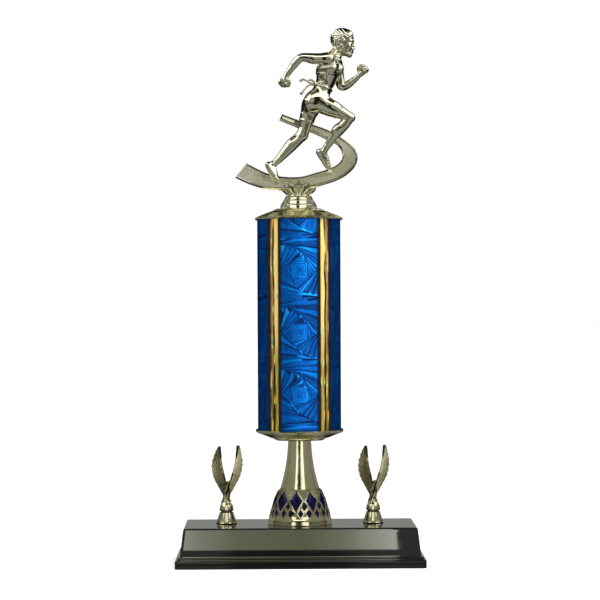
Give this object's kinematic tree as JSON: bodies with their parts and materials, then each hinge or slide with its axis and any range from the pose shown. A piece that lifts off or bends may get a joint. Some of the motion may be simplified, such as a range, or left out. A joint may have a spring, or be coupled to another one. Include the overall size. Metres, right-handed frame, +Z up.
{
  "type": "column trophy",
  "caption": "Column trophy: weighted black base with winged trims, jewelled riser, foil-wrapped column with ribbed caps, and a runner striding on a curved track.",
  "frame": {"origin": "middle of the underside of the base", "axes": "+Z up along the column and the longest extent; front towards -Y; the runner faces +X"},
  "size_m": [0.227, 0.1, 0.4926],
  "materials": {
    "gold_plating": "pale gold vacuum plating, mirror bright",
    "base_plastic": "glossy black moulding",
    "blue_foil": "embossed holographic blue foil",
    "gold_foil": "mirror gold foil tape",
    "black_foil": "glossy black tape",
    "stone_blue": "glossy dark blue faceted stones",
    "tube_plastic": "plain extruded plastic",
    "steel": "zinc plated",
    "plaster": "cast plaster",
    "board": "hardboard",
    "felt": "dark green felt"
  },
  "bodies": {
    "root": {"base_shell": "base_plastic", "base_weight": "plaster", "bottom_board": "board", "felt_pad": "felt", "center_rod": "steel", "rod_bottom_washer": "steel", "rod_bottom_nut": "steel", "riser_shell": "gold_plating", "riser_stones_large": "stone_blue", "riser_stones_upper": "stone_blue", "riser_stones_lower": "stone_blue", "column_cap_lower": "gold_plating", "column_tube": "tube_plastic", "column_wrap": "blue_foil", "column_gold_strips": "gold_foil", "column_black_tapes": "black_foil", "column_cap_upper": "gold_plating", "rod_top_washer": "steel", "rod_top_nut": "steel", "figure_base": "gold_plating", "figure_crown": "gold_plating", "figure_insert_nut": "steel", "track_band": "gold_plating", "runner_figure": "gold_plating", "trim_left": "gold_plating", "trim_right": "gold_plating", "trim_screws": "steel", "trim_washers": "steel"}
  },
  "joints": []
}
